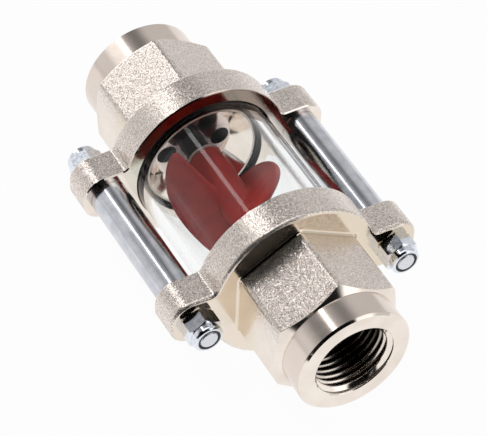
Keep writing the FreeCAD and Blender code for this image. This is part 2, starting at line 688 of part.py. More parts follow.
# The assembly, from the sockets inward and then out to the tie studs.
nodes = []
for end, half_turn in (("inlet", True), ("outlet", False)):
    nodes.append(make_socket(f"{end}_socket", half_turn))
    nodes.append(make_bearing_plate(f"{end}_bearing_plate", half_turn))
    nodes.append(
        turned_ring(
            f"{end}_bearing_bush",
            f"{AXLE_RADIUS} + Sizes.axle_running_clearance",
            BUSH_RADIUS,
            BOSS_END,
            BUSH_END,
            "Sizes.bush_chamfer",
            half_turn,
        )
    )
    nodes.append(
        turned_ring(
            f"{end}_gasket",
            f"{RIM_RADIUS} + Sizes.gasket_clearance",
            f"{SEAT_RADIUS} - Sizes.gasket_clearance",
            GLASS_END,
            SEAT,
            None,
            half_turn,
        )
    )
    washer_radius = "Sizes.washer_diameter / 2"
    nodes.append(
        turned_ring(f"{end}_thrust_washer", AXLE_BORE, washer_radius, HUB_END, WASHER_END, None, half_turn)
    )
glass_bevel = "Sizes.glass_end_chamfer"
nodes.append(turned_ring("sight_glass", GLASS_BORE, GLASS_RADIUS, f"-{GLASS_END}", GLASS_END, glass_bevel))
nodes.append(make_impeller())
nodes.append(make_axle())
for hand, side in (("left", -1), ("right", 1)):
    nodes.append(make_tie_stud(f"{hand}_tie_stud", side))
    nodes.append(make_sleeve(f"{hand}_spacer_sleeve", side))
nodes.append(four_of("lock_nuts", make_lock_nut()))
nodes.append(four_of("lock_nut_inserts", make_lock_insert()))
doc.recompute()

for feature in doc.Objects:
    if "Invalid" in feature.State or "Error" in feature.State:
        raise RuntimeError(f"{feature.Label} failed: {feature.State}")
for node in nodes:
    if node.Shape.isNull() or not node.Shape.isValid():
        raise RuntimeError(f"{node.Label} has no valid shape")

os.makedirs("parts", exist_ok=True)
for node in nodes:
    node.Shape.exportStep(f"parts/{node.Label}.step")
    print(node.Label, len(node.Shape.Solids), round(node.Shape.Volume, 2))
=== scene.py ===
import math

import bpy
from mathutils import Matrix, Vector


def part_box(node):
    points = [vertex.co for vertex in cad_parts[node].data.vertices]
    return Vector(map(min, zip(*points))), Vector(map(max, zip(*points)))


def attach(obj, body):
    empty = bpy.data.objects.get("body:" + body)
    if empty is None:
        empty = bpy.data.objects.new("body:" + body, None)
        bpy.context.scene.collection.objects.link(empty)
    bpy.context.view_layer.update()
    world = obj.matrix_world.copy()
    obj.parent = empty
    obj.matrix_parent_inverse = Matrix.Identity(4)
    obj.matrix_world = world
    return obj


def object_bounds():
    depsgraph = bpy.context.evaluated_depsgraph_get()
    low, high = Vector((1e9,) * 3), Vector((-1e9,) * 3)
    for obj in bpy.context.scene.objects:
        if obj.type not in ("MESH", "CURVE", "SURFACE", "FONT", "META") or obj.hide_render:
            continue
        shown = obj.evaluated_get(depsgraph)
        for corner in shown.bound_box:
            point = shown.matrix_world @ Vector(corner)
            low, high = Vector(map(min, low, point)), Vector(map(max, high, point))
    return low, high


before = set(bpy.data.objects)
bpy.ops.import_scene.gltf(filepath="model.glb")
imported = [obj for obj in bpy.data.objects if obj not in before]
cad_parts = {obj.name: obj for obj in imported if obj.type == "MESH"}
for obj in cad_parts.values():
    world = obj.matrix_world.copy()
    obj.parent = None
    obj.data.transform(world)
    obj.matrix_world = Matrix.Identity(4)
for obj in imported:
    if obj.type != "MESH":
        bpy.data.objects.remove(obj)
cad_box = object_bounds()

# Sockets. Two brass forgings, each with an eared flange, a spanner hexagon and a collar, nickel plated
# all over. The forged skin stays grainy under the plating, less so on the flange front and on the lower
# part of the side flats, which are cut smooth. The collar, the bevel behind it, the glass seat, the cup
# and the bore are turned bright. Painted shade darkens the tapped bore, the upper flange face round the
# glass seat and the upper side flats, and a warm painted shade lies on the flange front and side flats.
MM = 0.001


class Wire:
    """One socket of a finish. Sums of wires add Math nodes to the same finish."""

    def __init__(self, tree, socket=None):
        self.tree = tree
        self.socket = socket

    def node(self, kind, settings=None, inputs=None, output=0):
        """Adds a node: first its settings, then the values or links of its sockets."""
        made = self.tree.nodes.new("ShaderNode" + kind)
        for name, value in (settings or {}).items():
            setattr(made, name, value)
        for name, value in (inputs or {}).items():
            if isinstance(value, Wire):
                self.tree.links.new(value.socket, made.inputs[name])
            else:
                made.inputs[name].default_value = value
        return Wire(self.tree, made.outputs[output] if made.outputs else None)

    def other(self, output):
        """Another output of the node that this wire comes from."""
        return Wire(self.tree, self.socket.node.outputs[output])

    def math(self, operation, *values):
        return self.node("Math", {"operation": operation}, dict(enumerate(values)))

    def vector(self, operation, first, second, output=0):
        return self.node("VectorMath", {"operation": operation}, {0: first, 1: second}, output)

    def __add__(self, value):
        return self.math("ADD", self, value)

    __radd__ = __add__

    def __sub__(self, value):
        return self.math("SUBTRACT", self, value)

    def __rsub__(self, value):
        return self.math("SUBTRACT", value, self)

    def __mul__(self, value):
        return self.math("MULTIPLY", self, value)

    __rmul__ = __mul__

    def __abs__(self):
        return self.math("ABSOLUTE", self)

    def rise(self, low, high):
        """0 below low, 1 above high and a smooth rise between; low may be the larger one."""
        limits = {"Value": self, "From Min": low, "From Max": high}
        return self.node("MapRange", {"interpolation_type": "SMOOTHSTEP"}, limits)

    def band(self, start, stop):
        """1 between two soft edges, each given by where it is 0 and where it is 1."""
        return self.rise(*start) * self.rise(*stop)

    def between(self, low, high):
        """The low value where this wire is 0, and the high one where it is 1."""
        return self * (high - low) + low

    def tint(self, first, second):
        """The first colour where this wire is 0, and the second where it is 1."""
        return self.node("Mix", {"data_type": "RGBA"}, {0: self, 6: first, 7: second}, 2)

    def noise(self, spot, scale, detail=2.0, roughness=0.5):
        """Even noise from 0 to 1 at a spot in millimetres."""
        inputs = {"Vector": spot, "Scale": scale, "Detail": detail, "Roughness": roughness}
        return self.node("TexNoise", {}, inputs)

    def spot(self):
        """The place on a piece, in millimetres."""
        place = self.node("TexCoord", {}, {}, "Object")
        return self.node("VectorMath", {"operation": "SCALE"}, {0: place, "Scale": 1 / MM})

    def relief(self, height, depth):
        """A normal bent by a height from 0 to 1 that stands for so many millimetres."""
        return self.node("Bump", {}, {"Height": height, "Strength": 1.0, "Distance": depth * MM})

    def shown(self):
        """Ends the finish with this shader."""
        self.node("OutputMaterial", {}, {"Surface": self})


def new_finish(name):
    """An empty finish, and the wire that its first node is added from."""
    finish = bpy.data.materials.new(name)
    finish.use_nodes = True
    finish.node_tree.nodes.clear()
    return finish, Wire(finish.node_tree)


def dress(finish, *names):
    """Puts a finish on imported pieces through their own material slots."""
    for name in names:
        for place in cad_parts[name].material_slots:
            place.link = "OBJECT"
            place.material = finish


def round_the_axis(wire, spot):
    """Distance along the flow axis to either side, distance from it, and a spot for turned marks."""
    x = wire.node("SeparateXYZ", {}, {0: spot})
    y, z = x.other("Y"), x.other("Z")
    radius = y.math("SQRT", y * y + z * z)
    marks = wire.node("CombineXYZ", {}, {"X": x, "Y": radius})
    return abs(x), radius, marks


FLANGE_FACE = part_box("outlet_socket")[0].x / MM
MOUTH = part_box("outlet_socket")[1].x / MM
PLATE_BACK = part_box("outlet_bearing_plate")[1].x / MM
GLASS_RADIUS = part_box("sight_glass")[1].y / MM
FLANGE_THICKNESS, HEXAGON_LENGTH, THREAD_DEPTH = 8.8, 20.2, 17.0
FLANGE_FRONT = FLANGE_FACE + FLANGE_THICKNESS
HEXAGON_END = FLANGE_FRONT + HEXAGON_LENGTH
THREAD_END = MOUTH - THREAD_DEPTH
GLASS_CLEARANCE = 0.2
SEAT_RADIUS = GLASS_RADIUS + GLASS_CLEARANCE
CUP_RADIUS, COLLAR_RADIUS, FLAT_REACH = 14.4, 15.05, 15.5
INNER_RADIUS = 12.5  # in the wall between the bore and the outside
BEVEL_SLOPE = math.tan(math.radians(30))

NICKEL = (0.90, 0.82, 0.745, 1.0)
NICKEL_SHADE = (0.80, 0.71, 0.635, 1.0)
NICKEL_BLASTED = (0.98, 0.89, 0.825, 1.0)
NICKEL_TURNED = (0.72, 0.62, 0.56, 1.0)
NICKEL_GRAIN = (0.47, 0.41, 0.375, 1.0)
NICKEL_RIM = (0.98, 0.93, 0.86, 1.0)
NICKEL_WARM_SHADE = (0.76, 0.66, 0.52, 1.0)
SEAT_SHADE = (0.34, 0.26, 0.22, 1.0)
BORE_SHADE = (0.075, 0.06, 0.047, 1.0)
MOTTLE = (0.3, 0.7)  # the levels of a noise between which one colour turns into the other

# Soft edges on the socket, in millimetres: where a mask is 0 and where it is 1.
BEVEL_EDGE = (HEXAGON_END - 0.05, HEXAGON_END - 0.25)
SHOULDER_EDGE = (HEXAGON_END - 0.1, HEXAGON_END + 0.1)
COLLAR_EDGE = (COLLAR_RADIUS - 0.2, COLLAR_RADIUS - 0.1)
SKIN_EDGE, FACE_EDGE = (FLANGE_FACE + 0.3, FLANGE_FACE + 0.5), (FLANGE_FACE + 0.25, FLANGE_FACE + 0.15)
FRONT_START, FRONT_STOP = (FLANGE_FRONT - 0.2, FLANGE_FRONT - 0.05), (FLANGE_FRONT + 1.1, FLANGE_FRONT + 0.5)
ROOT_START, ROOT_STOP = (FLANGE_FRONT - 0.2, FLANGE_FRONT), (FLANGE_FRONT + 5.0, FLANGE_FRONT + 2.5)
OUTER_EDGE, INNER_EDGE = (INNER_RADIUS, INNER_RADIUS + 1.0), (INNER_RADIUS, INNER_RADIUS - 0.5)
IN_FLANGE, IN_SEAT = (FLANGE_FRONT - 2.0, FLANGE_FRONT - 3.0), (SEAT_RADIUS + 0.6, SEAT_RADIUS + 0.3)
RIM_START, RIM_STOP = (CUP_RADIUS - 0.1, CUP_RADIUS), (CUP_RADIUS + 0.7, CUP_RADIUS + 0.6)
FLAT_EDGE, FLAT_START = (FLAT_REACH - 0.5, FLAT_REACH - 0.1), (FLANGE_FRONT, FLANGE_FRONT + 0.5)
TRIM_SHADE_HEIGHT, SEAT_SHADE_HEIGHT = (8.5, 1.5), (6.0, 10.0)
SEAT_EDGE = (SEAT_RADIUS - 0.3, SEAT_RADIUS - 0.1)
WARM_FRONT, WARM_FLAT = (-12.0, 6.0), (FLANGE_FRONT + 12.9, FLANGE_FRONT + 2.9)
LEDGE_EDGE, THREAD_FLANK = (PLATE_BACK - 0.2, PLATE_BACK), (9.75, 10.25)
RUN_OUT, DEEP_BORE = (THREAD_END + 1.0, THREAD_END), (MOUTH - 1.8, MOUTH - 9.8)
TAPPED_EDGE, RIGHT_BORE, RIGHT_SIDE = (MOUTH - 1.6, MOUTH - 2.6), (MOUTH - 2.0, MOUTH - 8.3), (0.0, 5.0)

socket_nickel, wire = new_finish("socket_nickel")
spot = wire.spot()
along, radius, marks = round_the_axis(wire, spot)
across = wire.node("SeparateXYZ", {}, {0: spot}, "Y")
upward = across.other("Z")
behind_bevel = (along + (radius - COLLAR_RADIUS) * BEVEL_SLOPE).rise(*BEVEL_EDGE)
flange_skin = along.rise(*SKIN_EDGE) * behind_bevel
flange_front = along.band(FRONT_START, FRONT_STOP)
hexagon_root = along.band(ROOT_START, ROOT_STOP)
outside = radius.rise(*OUTER_EDGE) * (1 - along.rise(*IN_FLANGE) * radius.rise(*IN_SEAT))
collar = along.rise(*SHOULDER_EDGE) * radius.rise(*COLLAR_EDGE)
cup_rim = along.rise(*FACE_EDGE) * radius.band(RIM_START, RIM_STOP)
side_flat = abs(across).rise(*FLAT_EDGE) * along.rise(*FLAT_START)
# Only the lower part of the side flats is cut smooth. The upper part keeps the grainy skin, whose darker
# colour there is painted shade.
trimmed_below_shaded_above = side_flat * upward.rise(*TRIM_SHADE_HEIGHT)
# Painted shade: the upper part of the flange face round the glass seat is darker.
seat_face_shade = along.rise(*FACE_EDGE) * radius.rise(*SEAT_EDGE) * upward.rise(*SEAT_SHADE_HEIGHT)
passage = radius.rise(*INNER_EDGE) * along.rise(*LEDGE_EDGE)
tapped = passage * along.rise(*TAPPED_EDGE)

FRONT_SMOOTH, ROOT_SMOOTH, TRIM_SMOOTH = 0.86, 0.5, 0.8
forged = flange_skin * outside * (1 - FRONT_SMOOTH * flange_front) * (1 - ROOT_SMOOTH * hexagon_root)
forged = forged * (1 - TRIM_SMOOTH * trimmed_below_shaded_above)

GRAIN_SCALE, MIDDLE_COLOUR = 4.4, (0.5, 0.5, 0.5)
FINE_GRAIN, TURNED_MARKS = (2.6, 3.0, 0.65), (5.0, 4.0, 0.7)
COLLAR_RIPPLE, SOCKET_CLOUD = (0.45, 2.0), (0.12, 3.0)
cells = wire.node("TexVoronoi", {"feature": "F1"}, {"Vector": spot, "Scale": GRAIN_SCALE})
chance = cells.other("Color")
lean = wire.vector("SUBTRACT", chance, MIDDLE_COLOUR)
offset = wire.vector("SUBTRACT", spot, cells.other("Position"))
facets = wire.vector("DOT_PRODUCT", offset, lean, "Value")
flake = wire.node("SeparateColor", {}, {0: chance}, "Red")
fine = wire.noise(spot, *FINE_GRAIN)
turned = wire.noise(marks, *TURNED_MARKS)
ripple = wire.noise(spot, *COLLAR_RIPPLE)
cloud = wire.noise(spot, *SOCKET_CLOUD)

SOCKET_RELIEF = 0.075
FACET_SHARE, FINE_SHARE, TURNED_SHARE, RIPPLE_SHARE = 2.8, 0.25, 0.05, 0.08
skin_height = (facets * FACET_SHARE + fine * FINE_SHARE) * forged
height = skin_height + turned * (1 - forged) * TURNED_SHARE + ripple * collar * RIPPLE_SHARE

BLASTED_SHARE, COLLAR_SHARE = 0.8, 0.7
FLAKE_SHARE, FLAKE_LEVELS = 0.65, (0.1, 1.0)
PIT_SHARE, PIT_LEVELS = 0.35, (0.62, 0.3)
WARM_FRONT_SHARE, WARM_FLAT_SHARE = 0.45, 0.9
DEEP_BORE_SHARE, RIGHT_BORE_SHARE = 0.5, 0.95
plain = cloud.rise(*MOTTLE).tint(NICKEL_SHADE, NICKEL)
plain = (forged * BLASTED_SHARE).tint((collar * COLLAR_SHARE).tint(plain, NICKEL_TURNED), NICKEL_BLASTED)
grain = forged * (flake.rise(*FLAKE_LEVELS) * FLAKE_SHARE + fine.rise(*PIT_LEVELS) * PIT_SHARE)
grained = grain.tint(plain, NICKEL_GRAIN)
# Painted shade in a warm, darker tone: on the flange front, strongest on the right sleeve's side, and on the
# side flats near the flange, fading out along the hexagon.
warm_painted_shade = flange_front * (across.rise(*WARM_FRONT) * WARM_FRONT_SHARE + WARM_FRONT_SHARE)
warm_painted_shade = warm_painted_shade + side_flat * along.rise(*WARM_FLAT) * WARM_FLAT_SHARE
warm_shaded = warm_painted_shade.tint(grained, NICKEL_WARM_SHADE)
faced = seat_face_shade.tint(cup_rim.tint(warm_shaded, NICKEL_RIM), SEAT_SHADE)
# Painted shade in the tapped bore: darker in the thread roots, at the run-out, deeper in, and more on the
# right sleeve's side.
shaded = radius.rise(*THREAD_FLANK) + along.rise(*RUN_OUT) + along.rise(*DEEP_BORE) * DEEP_BORE_SHARE
shaded = shaded + across.rise(*RIGHT_SIDE) * along.rise(*RIGHT_BORE) * RIGHT_BORE_SHARE
inner = tapped * shaded.math("MINIMUM", shaded, 1.0)

SOCKET_ROUGH, FORGED_ROUGH, TURNED_ROUGH = 0.06, 0.17, 0.05
COLLAR_ROUGH, RIM_ROUGH, TAPPED_ROUGH = 0.09, 0.5, 0.10
rough = forged * FORGED_ROUGH + turned * TURNED_ROUGH + collar * COLLAR_ROUGH
rough = rough + cup_rim * RIM_ROUGH + tapped * TAPPED_ROUGH
wire.node("BsdfPrincipled", {}, {
    "Base Color": inner.tint(faced, BORE_SHADE),
    "Metallic": 1.0,
    "Roughness": rough + SOCKET_ROUGH,
    "Normal": wire.relief(height, SOCKET_RELIEF),
}).shown()
dress(socket_nickel, "inlet_socket", "outlet_socket")

# Pipe threads. A half inch parallel thread is tapped into each socket from the mouth: fourteen turns
# to the inch with rounded crests. It runs out at the inner end, and a bevel at the mouth cuts it back.
THREAD_PITCH, THREAD_ROOT, THREAD_CREST = 1.814, 10.4775, 9.3155
THREAD_START, THREAD_STOP = THREAD_END + 1.2, MOUTH + 0.4
THREAD_FOOT = THREAD_ROOT + 0.12  # the foot of the ridge is hidden in the wall of the bore
MOUTH_RADIUS, MOUTH_COVER = THREAD_ROOT + 0.1, 0.02
BEVEL_COVER, PAST_MOUTH_SLOPE = 0.15, 0.2
STEPS_A_TURN, FADE_STEPS, LEAST_GROWN = 96, 50, 0.02
HALF_RIDGE = [  # along the axis and from the axis, down one side of the thread ridge
    (0.13, THREAD_CREST + 0.03), (0.26, THREAD_CREST + 0.17), (0.66, THREAD_ROOT - 0.16),
    (0.78, THREAD_ROOT), (0.88, THREAD_FOOT),
]
RIDGE = [(-across, radius) for across, radius in reversed(HALF_RIDGE)] + [(0.0, THREAD_CREST)] + HALF_RIDGE


def new_piece(name, points, faces, finish, body):
    """A mesh from points in millimetres, smooth shaded, on one body."""
    mesh = bpy.data.meshes.new(name)
    mesh.from_pydata([Vector(point) * MM for point in points], [], faces)
    mesh.validate()
    mesh.shade_smooth()
    mesh.materials.append(finish)
    piece = bpy.data.objects.new(name, mesh)
    bpy.context.scene.collection.objects.link(piece)
    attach(piece, body)


def skin_loops(count, size):
    """Faces between closed loops of points that follow one another."""
    faces = []
    for row in range(count - 1):
        for place in range(size):
            beside = (place + 1) % size
            here, there = row * size + place, row * size + beside
            faces.append((here, there, there + size, here + size))
    return faces


def cut_thread(name, side):
    """One helical ridge; the inlet's is the outlet's turned half round the upright axis."""
    turns = (THREAD_STOP - THREAD_START) / THREAD_PITCH
    steps = round(turns * STEPS_A_TURN)
    points = []
    for step in range(steps + 1):
        angle = 2 * math.pi * step / STEPS_A_TURN
        middle = THREAD_START + THREAD_PITCH * step / STEPS_A_TURN
        grown = max(LEAST_GROWN, min(1.0, step / FADE_STEPS))
        for across, radius in RIDGE:
            along = min(middle + across, MOUTH - MOUTH_COVER)
            beyond = middle + across - along
            bevel = MOUTH_RADIUS - (MOUTH - along)
            hidden = BEVEL_COVER if bevel > THREAD_ROOT else 0.0
            ridge = THREAD_FOOT - (THREAD_FOOT - radius) * grown
            reach = max(ridge, bevel + hidden) + PAST_MOUTH_SLOPE * beyond
            points.append((side * along, side * reach * math.cos(angle), reach * math.sin(angle)))
    size = len(RIDGE)
    faces = skin_loops(steps + 1, size)
    faces.append(tuple(reversed(range(size))))
    faces.append(tuple(range(steps * size, (steps + 1) * size)))
    new_piece(name, points, faces, socket_nickel, "housing")


cut_thread("outlet_pipe_thread", 1)
cut_thread("inlet_pipe_thread", -1)

# Bearing plates. Two discs turned from brass, drilled with six flow holes round a central boss, nickel
# plated and pressed against a ledge in each socket. They carry the axle.
PLATE = (0.66, 0.56, 0.51, 1.0)
PLATE_SHADE = (0.14, 0.10, 0.10, 1.0)
PLATE_DEEP_SHADE = (0.07, 0.065, 0.06, 1.0)
PLATE_THICKNESS, BOSS_RADIUS, BRIGHT_RADIUS = 2.2, 3.3, 8.6
PLATE_FRONT = PLATE_BACK - PLATE_THICKNESS
HOLE_EDGE, BOSS_EDGE = (PLATE_FRONT + 0.05, PLATE_FRONT + 0.4), (BOSS_RADIUS + 0.5, BOSS_RADIUS)
BRIGHT_EDGE, BRIGHT_WANDER, BOSS_SHARE = (-2.0, 2.5), 2.0, 0.8
PLATE_MARKS, PLATE_CLOUD = (3.5, 4.0, 0.7), (0.5, 3.0)
PLATE_ROUGH, PLATE_RELIEF = (0.05, 0.13), 0.006
plate_nickel, wire = new_finish("plate_nickel")
spot = wire.spot()
along, radius, marks = round_the_axis(wire, spot)
turned = wire.noise(marks, *PLATE_MARKS)
cloud = wire.noise(spot, *PLATE_CLOUD)
# Painted shade: the middle of the plate round the boss is darker, with a wandering edge. The boss, the hole
# walls and everything behind the front face are darker still.
plain = (cloud * BRIGHT_WANDER + radius - BRIGHT_RADIUS).rise(*BRIGHT_EDGE).tint(PLATE_SHADE, PLATE)
deep_shade = along.rise(*HOLE_EDGE) + radius.rise(*BOSS_EDGE) * BOSS_SHARE
wire.node("BsdfPrincipled", {}, {
    "Base Color": deep_shade.tint(plain, PLATE_DEEP_SHADE),
    "Metallic": 1.0,
    "Roughness": turned.between(*PLATE_ROUGH),
    "Normal": wire.relief(turned, PLATE_RELIEF),
}).shown()
dress(plate_nickel, "inlet_bearing_plate", "outlet_bearing_plate")

# Bearing bushes. Two short plain bearings of sintered bronze, full of fine pores that hold oil. They are
# pressed into the bosses of the bearing plates, and the axle turns in them.
BRONZE = (0.56, 0.36, 0.17, 1.0)
BRONZE_PORE = (0.16, 0.09, 0.04, 1.0)
PORES, PORE_LEVELS = (7.0, 3.0, 0.6), (0.62, 0.70)
BUSH_ROUGH, PORE_RELIEF = (0.32, 0.62), 0.02
bush_bronze, wire = new_finish("bush_bronze")
pores = wire.noise(wire.spot(), *PORES).rise(*PORE_LEVELS)
wire.node("BsdfPrincipled", {}, {
    "Base Color": pores.tint(BRONZE, BRONZE_PORE),
    "Metallic": 1.0,
    "Roughness": pores.between(*BUSH_ROUGH),
    "Normal": wire.relief(1 - pores, PORE_RELIEF),
}).shown()
dress(bush_bronze, "inlet_bearing_bush", "outlet_bearing_bush")

# Gaskets. Two flat rings punched from black rubber sheet, squeezed between the glass ends and the
# bottoms of their seats. The squeezed rubber stands up round the glass as a thin lip.
RUBBER = (0.012, 0.012, 0.013, 1.0)
RUBBER_BLOOM = (0.035, 0.035, 0.037, 1.0)
RUBBER_SPECKLE, RUBBER_CLOUD, BLOOM_LEVELS = (6.0, 3.0, 0.65), (0.4, 3.0), (0.35, 0.7)
RUBBER_ROUGH, RUBBER_RELIEF = (0.42, 0.62), 0.015
gasket_rubber, wire = new_finish("gasket_rubber")
spot = wire.spot()
speckle = wire.noise(spot, *RUBBER_SPECKLE)
cloud = wire.noise(spot, *RUBBER_CLOUD)
wire.node("BsdfPrincipled", {}, {
    "Base Color": cloud.rise(*BLOOM_LEVELS).tint(RUBBER, RUBBER_BLOOM),
    "Roughness": speckle.between(*RUBBER_ROUGH),
    "Normal": wire.relief(speckle, RUBBER_RELIEF),
}).shown()
dress(gasket_rubber, "inlet_gasket", "outlet_gasket")
GLASS_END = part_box("sight_glass")[1].x / MM
LIP_RADIUS = GLASS_RADIUS + GLASS_CLEARANCE / 2
LIP_TIP, LIP_FOOT = FLANGE_FACE + 0.28, GLASS_END + 0.05
HALF_LIP = [  # along the axis and away from the middle of the lip, down one side of it
    (LIP_TIP + 0.04, 0.03), (LIP_TIP + 0.17, 0.06), (LIP_FOOT, 0.06),
]
LIP_SECTION = [(x, LIP_RADIUS - half) for x, half in reversed(HALF_LIP)] + [(LIP_TIP, LIP_RADIUS)]
LIP_SECTION += [(x, LIP_RADIUS + half) for x, half in HALF_LIP]
LIP_SIDES = 160


def turn_lip(name, side):
    """The section of the lip turned about the flow axis, at the outlet or the inlet end."""
    points = []
    for place in range(LIP_SIDES):
        angle = 2 * math.pi * place / LIP_SIDES
        points += [(side * x, r * math.cos(angle), side * r * math.sin(angle)) for x, r in LIP_SECTION]
    count = len(LIP_SECTION)
    faces = skin_loops(LIP_SIDES, count)
    last = (LIP_SIDES - 1) * count
    for place in range(count):
        beside = (place + 1) % count
        faces.append((last + place, last + beside, beside, place))
    new_piece(name, points, faces, gasket_rubber, "housing")


turn_lip("outlet_gasket_lip", 1)
turn_lip("inlet_gasket_lip", -1)

# Sight glass. One drawn tube of clear glass with ground ends, clamped between the gaskets. It has the
# faint lengthwise ripple of drawn tube and the dry haze of a wiped surface. Light from the lamp, and
# what bare metal mirrors, pass through it unbent.
GLASS = (0.985, 0.995, 0.99, 1.0)
GLASS_GLINT = (0.45, 0.45, 0.45, 1.0)
GLASS_UNBENT = (0.93, 0.95, 0.94, 1.0)
GROUND_EDGE = (GLASS_END - 0.5, GLASS_END - 0.3)
GLASS_DRAW, GLASS_RIPPLE = (0.02, 1.0, 1.0), (0.25, 1.0)
GLASS_HAZE, HAZE_LEVELS = (0.18, 3.0), (0.55, 0.75)
GROUND_ROUGH, HAZE_ROUGH, RIPPLE_RELIEF, GLASS_INDEX = 0.35, 0.02, 0.005, 1.47
clear_glass, wire = new_finish("clear_glass")
spot = wire.spot()
ripple = wire.noise(wire.vector("MULTIPLY", spot, GLASS_DRAW), *GLASS_RIPPLE)
ground = abs(wire.node("SeparateXYZ", {}, {0: spot})).rise(*GROUND_EDGE)
wiped = wire.noise(spot, *GLASS_HAZE).rise(*HAZE_LEVELS)
glass = wire.node("BsdfPrincipled", {}, {
    "Base Color": GLASS,
    "Roughness": ground * GROUND_ROUGH + wiped * HAZE_ROUGH,
    "IOR": GLASS_INDEX,
    "Specular Tint": GLASS_GLINT,
    "Transmission Weight": 1.0,
    "Normal": wire.relief(ripple, RIPPLE_RELIEF),
})
shadow_ray = wire.node("LightPath", {}, {}, "Is Shadow Ray")
walls_passed = shadow_ray.other("Transmission Depth")
mirrored = shadow_ray.other("Is Glossy Ray") * walls_passed.math("LESS_THAN", walls_passed, 0.5)
unbent = wire.node("BsdfTransparent", {}, {"Color": GLASS_UNBENT})
wire.node("MixShader", {}, {0: shadow_ray + mirrored, 1: glass, 2: unbent}).shown()
dress(clear_glass, "sight_glass")

# Impeller. One red plastic moulding: a hub with two flat leaning blades, rounded along every edge and
# at the roots. It is fixed on the axle and turns with it.
RED = (0.47, 0.036, 0.028, 1.0)
RED_SHADE = (0.36, 0.025, 0.020, 1.0)
MOULD_FLOW, MOULD_SATIN = (0.22, 3.0, 0.55), (5.0, 3.0, 0.6)
RED_ROUGH, RED_RELIEF, RED_GLINT = (0.34, 0.50), 0.012, 0.25
impeller_red, wire = new_finish("impeller_red")
spot = wire.spot()
flow = wire.noise(spot, *MOULD_FLOW)
satin = wire.noise(spot, *MOULD_SATIN)
wire.node("BsdfPrincipled", {}, {
    "Base Color": flow.rise(*MOTTLE).tint(RED_SHADE, RED),
    "Roughness": satin.between(*RED_ROUGH),
    "Specular IOR Level": RED_GLINT,
    "Normal": wire.relief(satin, RED_RELIEF),
}).shown()
dress(impeller_red, "impeller")

# Axle and thrust washers. A ground steel pin is fixed in the hub and turns in the two bushes, and a
# bright steel washer on it at each end of the hub takes the thrust.
STEEL = (0.92, 0.89, 0.86, 1.0)
STEEL_SHADE = (0.74, 0.71, 0.68, 1.0)
STEEL_MARKS, STEEL_RELIEF = (6.0, 4.0, 0.7), 0.008
AXLE_ROUGH, WASHER_ROUGH = (0.12, 0.22), (0.5, 0.6)


def steel_finish(name, rough):
    """Turned or ground steel with fine marks round the axis."""
    finish, wire = new_finish(name)
    _, _, marks = round_the_axis(wire, wire.spot())
    turned = wire.noise(marks, *STEEL_MARKS)
    wire.node("BsdfPrincipled", {}, {
        "Base Color": turned.rise(*MOTTLE).tint(STEEL_SHADE, STEEL),
        "Metallic": 1.0,
        "Roughness": turned.between(*rough),
        "Normal": wire.relief(turned, STEEL_RELIEF),
    }).shown()
    return finish


dress(steel_finish("axle_steel_ground", AXLE_ROUGH), "impeller_axle")
dress(steel_finish("washer_steel_bright", WASHER_ROUGH), "inlet_thrust_washer", "outlet_thrust_washer")

# Spacer sleeves. Two lengths of zinc plated steel tube slipped over the studs, which set the distance
# between the flanges. They show the fine lengthwise lines of drawn tube.
ZINC = (0.71, 0.72, 0.765, 1.0)
ZINC_SHADE = (0.55, 0.56, 0.61, 1.0)
SLEEVE_DRAW, SLEEVE_LINES, SLEEVE_CLOUD = (0.03, 1.0, 1.0), (4.0, 3.0, 0.6), (0.3, 3.0)
CLOUD_SHARE, LINE_SHARE, ZINC_LEVELS = 0.6, 0.4, (0.35, 0.65)
SLEEVE_ROUGH, SLEEVE_RELIEF = (0.13, 0.25), 0.006
sleeve_zinc, wire = new_finish("sleeve_zinc")
spot = wire.spot()
drawn = wire.noise(wire.vector("MULTIPLY", spot, SLEEVE_DRAW), *SLEEVE_LINES)
cloud = wire.noise(spot, *SLEEVE_CLOUD)
wire.node("BsdfPrincipled", {}, {
    "Base Color": (cloud * CLOUD_SHARE + drawn * LINE_SHARE).rise(*ZINC_LEVELS).tint(ZINC_SHADE, ZINC),
    "Metallic": 1.0,
    "Roughness": drawn.between(*SLEEVE_ROUGH),
    "Normal": wire.relief(drawn, SLEEVE_RELIEF),
}).shown()
dress(sleeve_zinc, "left_spacer_sleeve", "right_spacer_sleeve")

# Tie studs. Two zinc plated steel studs through sleeves and ears; only their pale sawn ends show in
# the lock nuts.
STUD = (0.84, 0.85, 0.89, 1.0)
STUD_SHADE = (0.64, 0.65, 0.70, 1.0)
SAW_MARKS, STUD_ROUGH, STUD_RELIEF = (5.0, 3.0, 0.6), (0.3, 0.5), 0.03
stud_zinc, wire = new_finish("stud_zinc")
sawn = wire.noise(wire.spot(), *SAW_MARKS)
wire.node("BsdfPrincipled", {}, {
    "Base Color": sawn.rise(*MOTTLE).tint(STUD_SHADE, STUD),
    "Metallic": 1.0,
    "Roughness": sawn.between(*STUD_ROUGH),
    "Normal": wire.relief(sawn, STUD_RELIEF),
}).shown()
dress(stud_zinc, "left_tie_stud", "right_tie_stud")

# Lock nuts. Four cold formed steel nuts with a rolled collar, zinc plated. One is screwed on each stud
# end, and together they clamp the ears of the flanges against the sleeves.
NUT = (0.86, 0.89, 0.95, 1.0)
NUT_SHADE = (0.68, 0.72, 0.80, 1.0)
FORMING_MARKS, NUT_ROUGH, NUT_RELIEF = (1.2, 4.0, 0.6), (0.06, 0.18), 0.01
nut_zinc, wire = new_finish("nut_zinc")
formed = wire.noise(wire.spot(), *FORMING_MARKS)
wire.node("BsdfPrincipled", {}, {
    "Base Color": formed.rise(*MOTTLE).tint(NUT_SHADE, NUT),
    "Metallic": 1.0,
    "Roughness": formed.between(*NUT_ROUGH),
    "Normal": wire.relief(formed, NUT_RELIEF),
}).shown()
dress(nut_zinc, "lock_nuts")

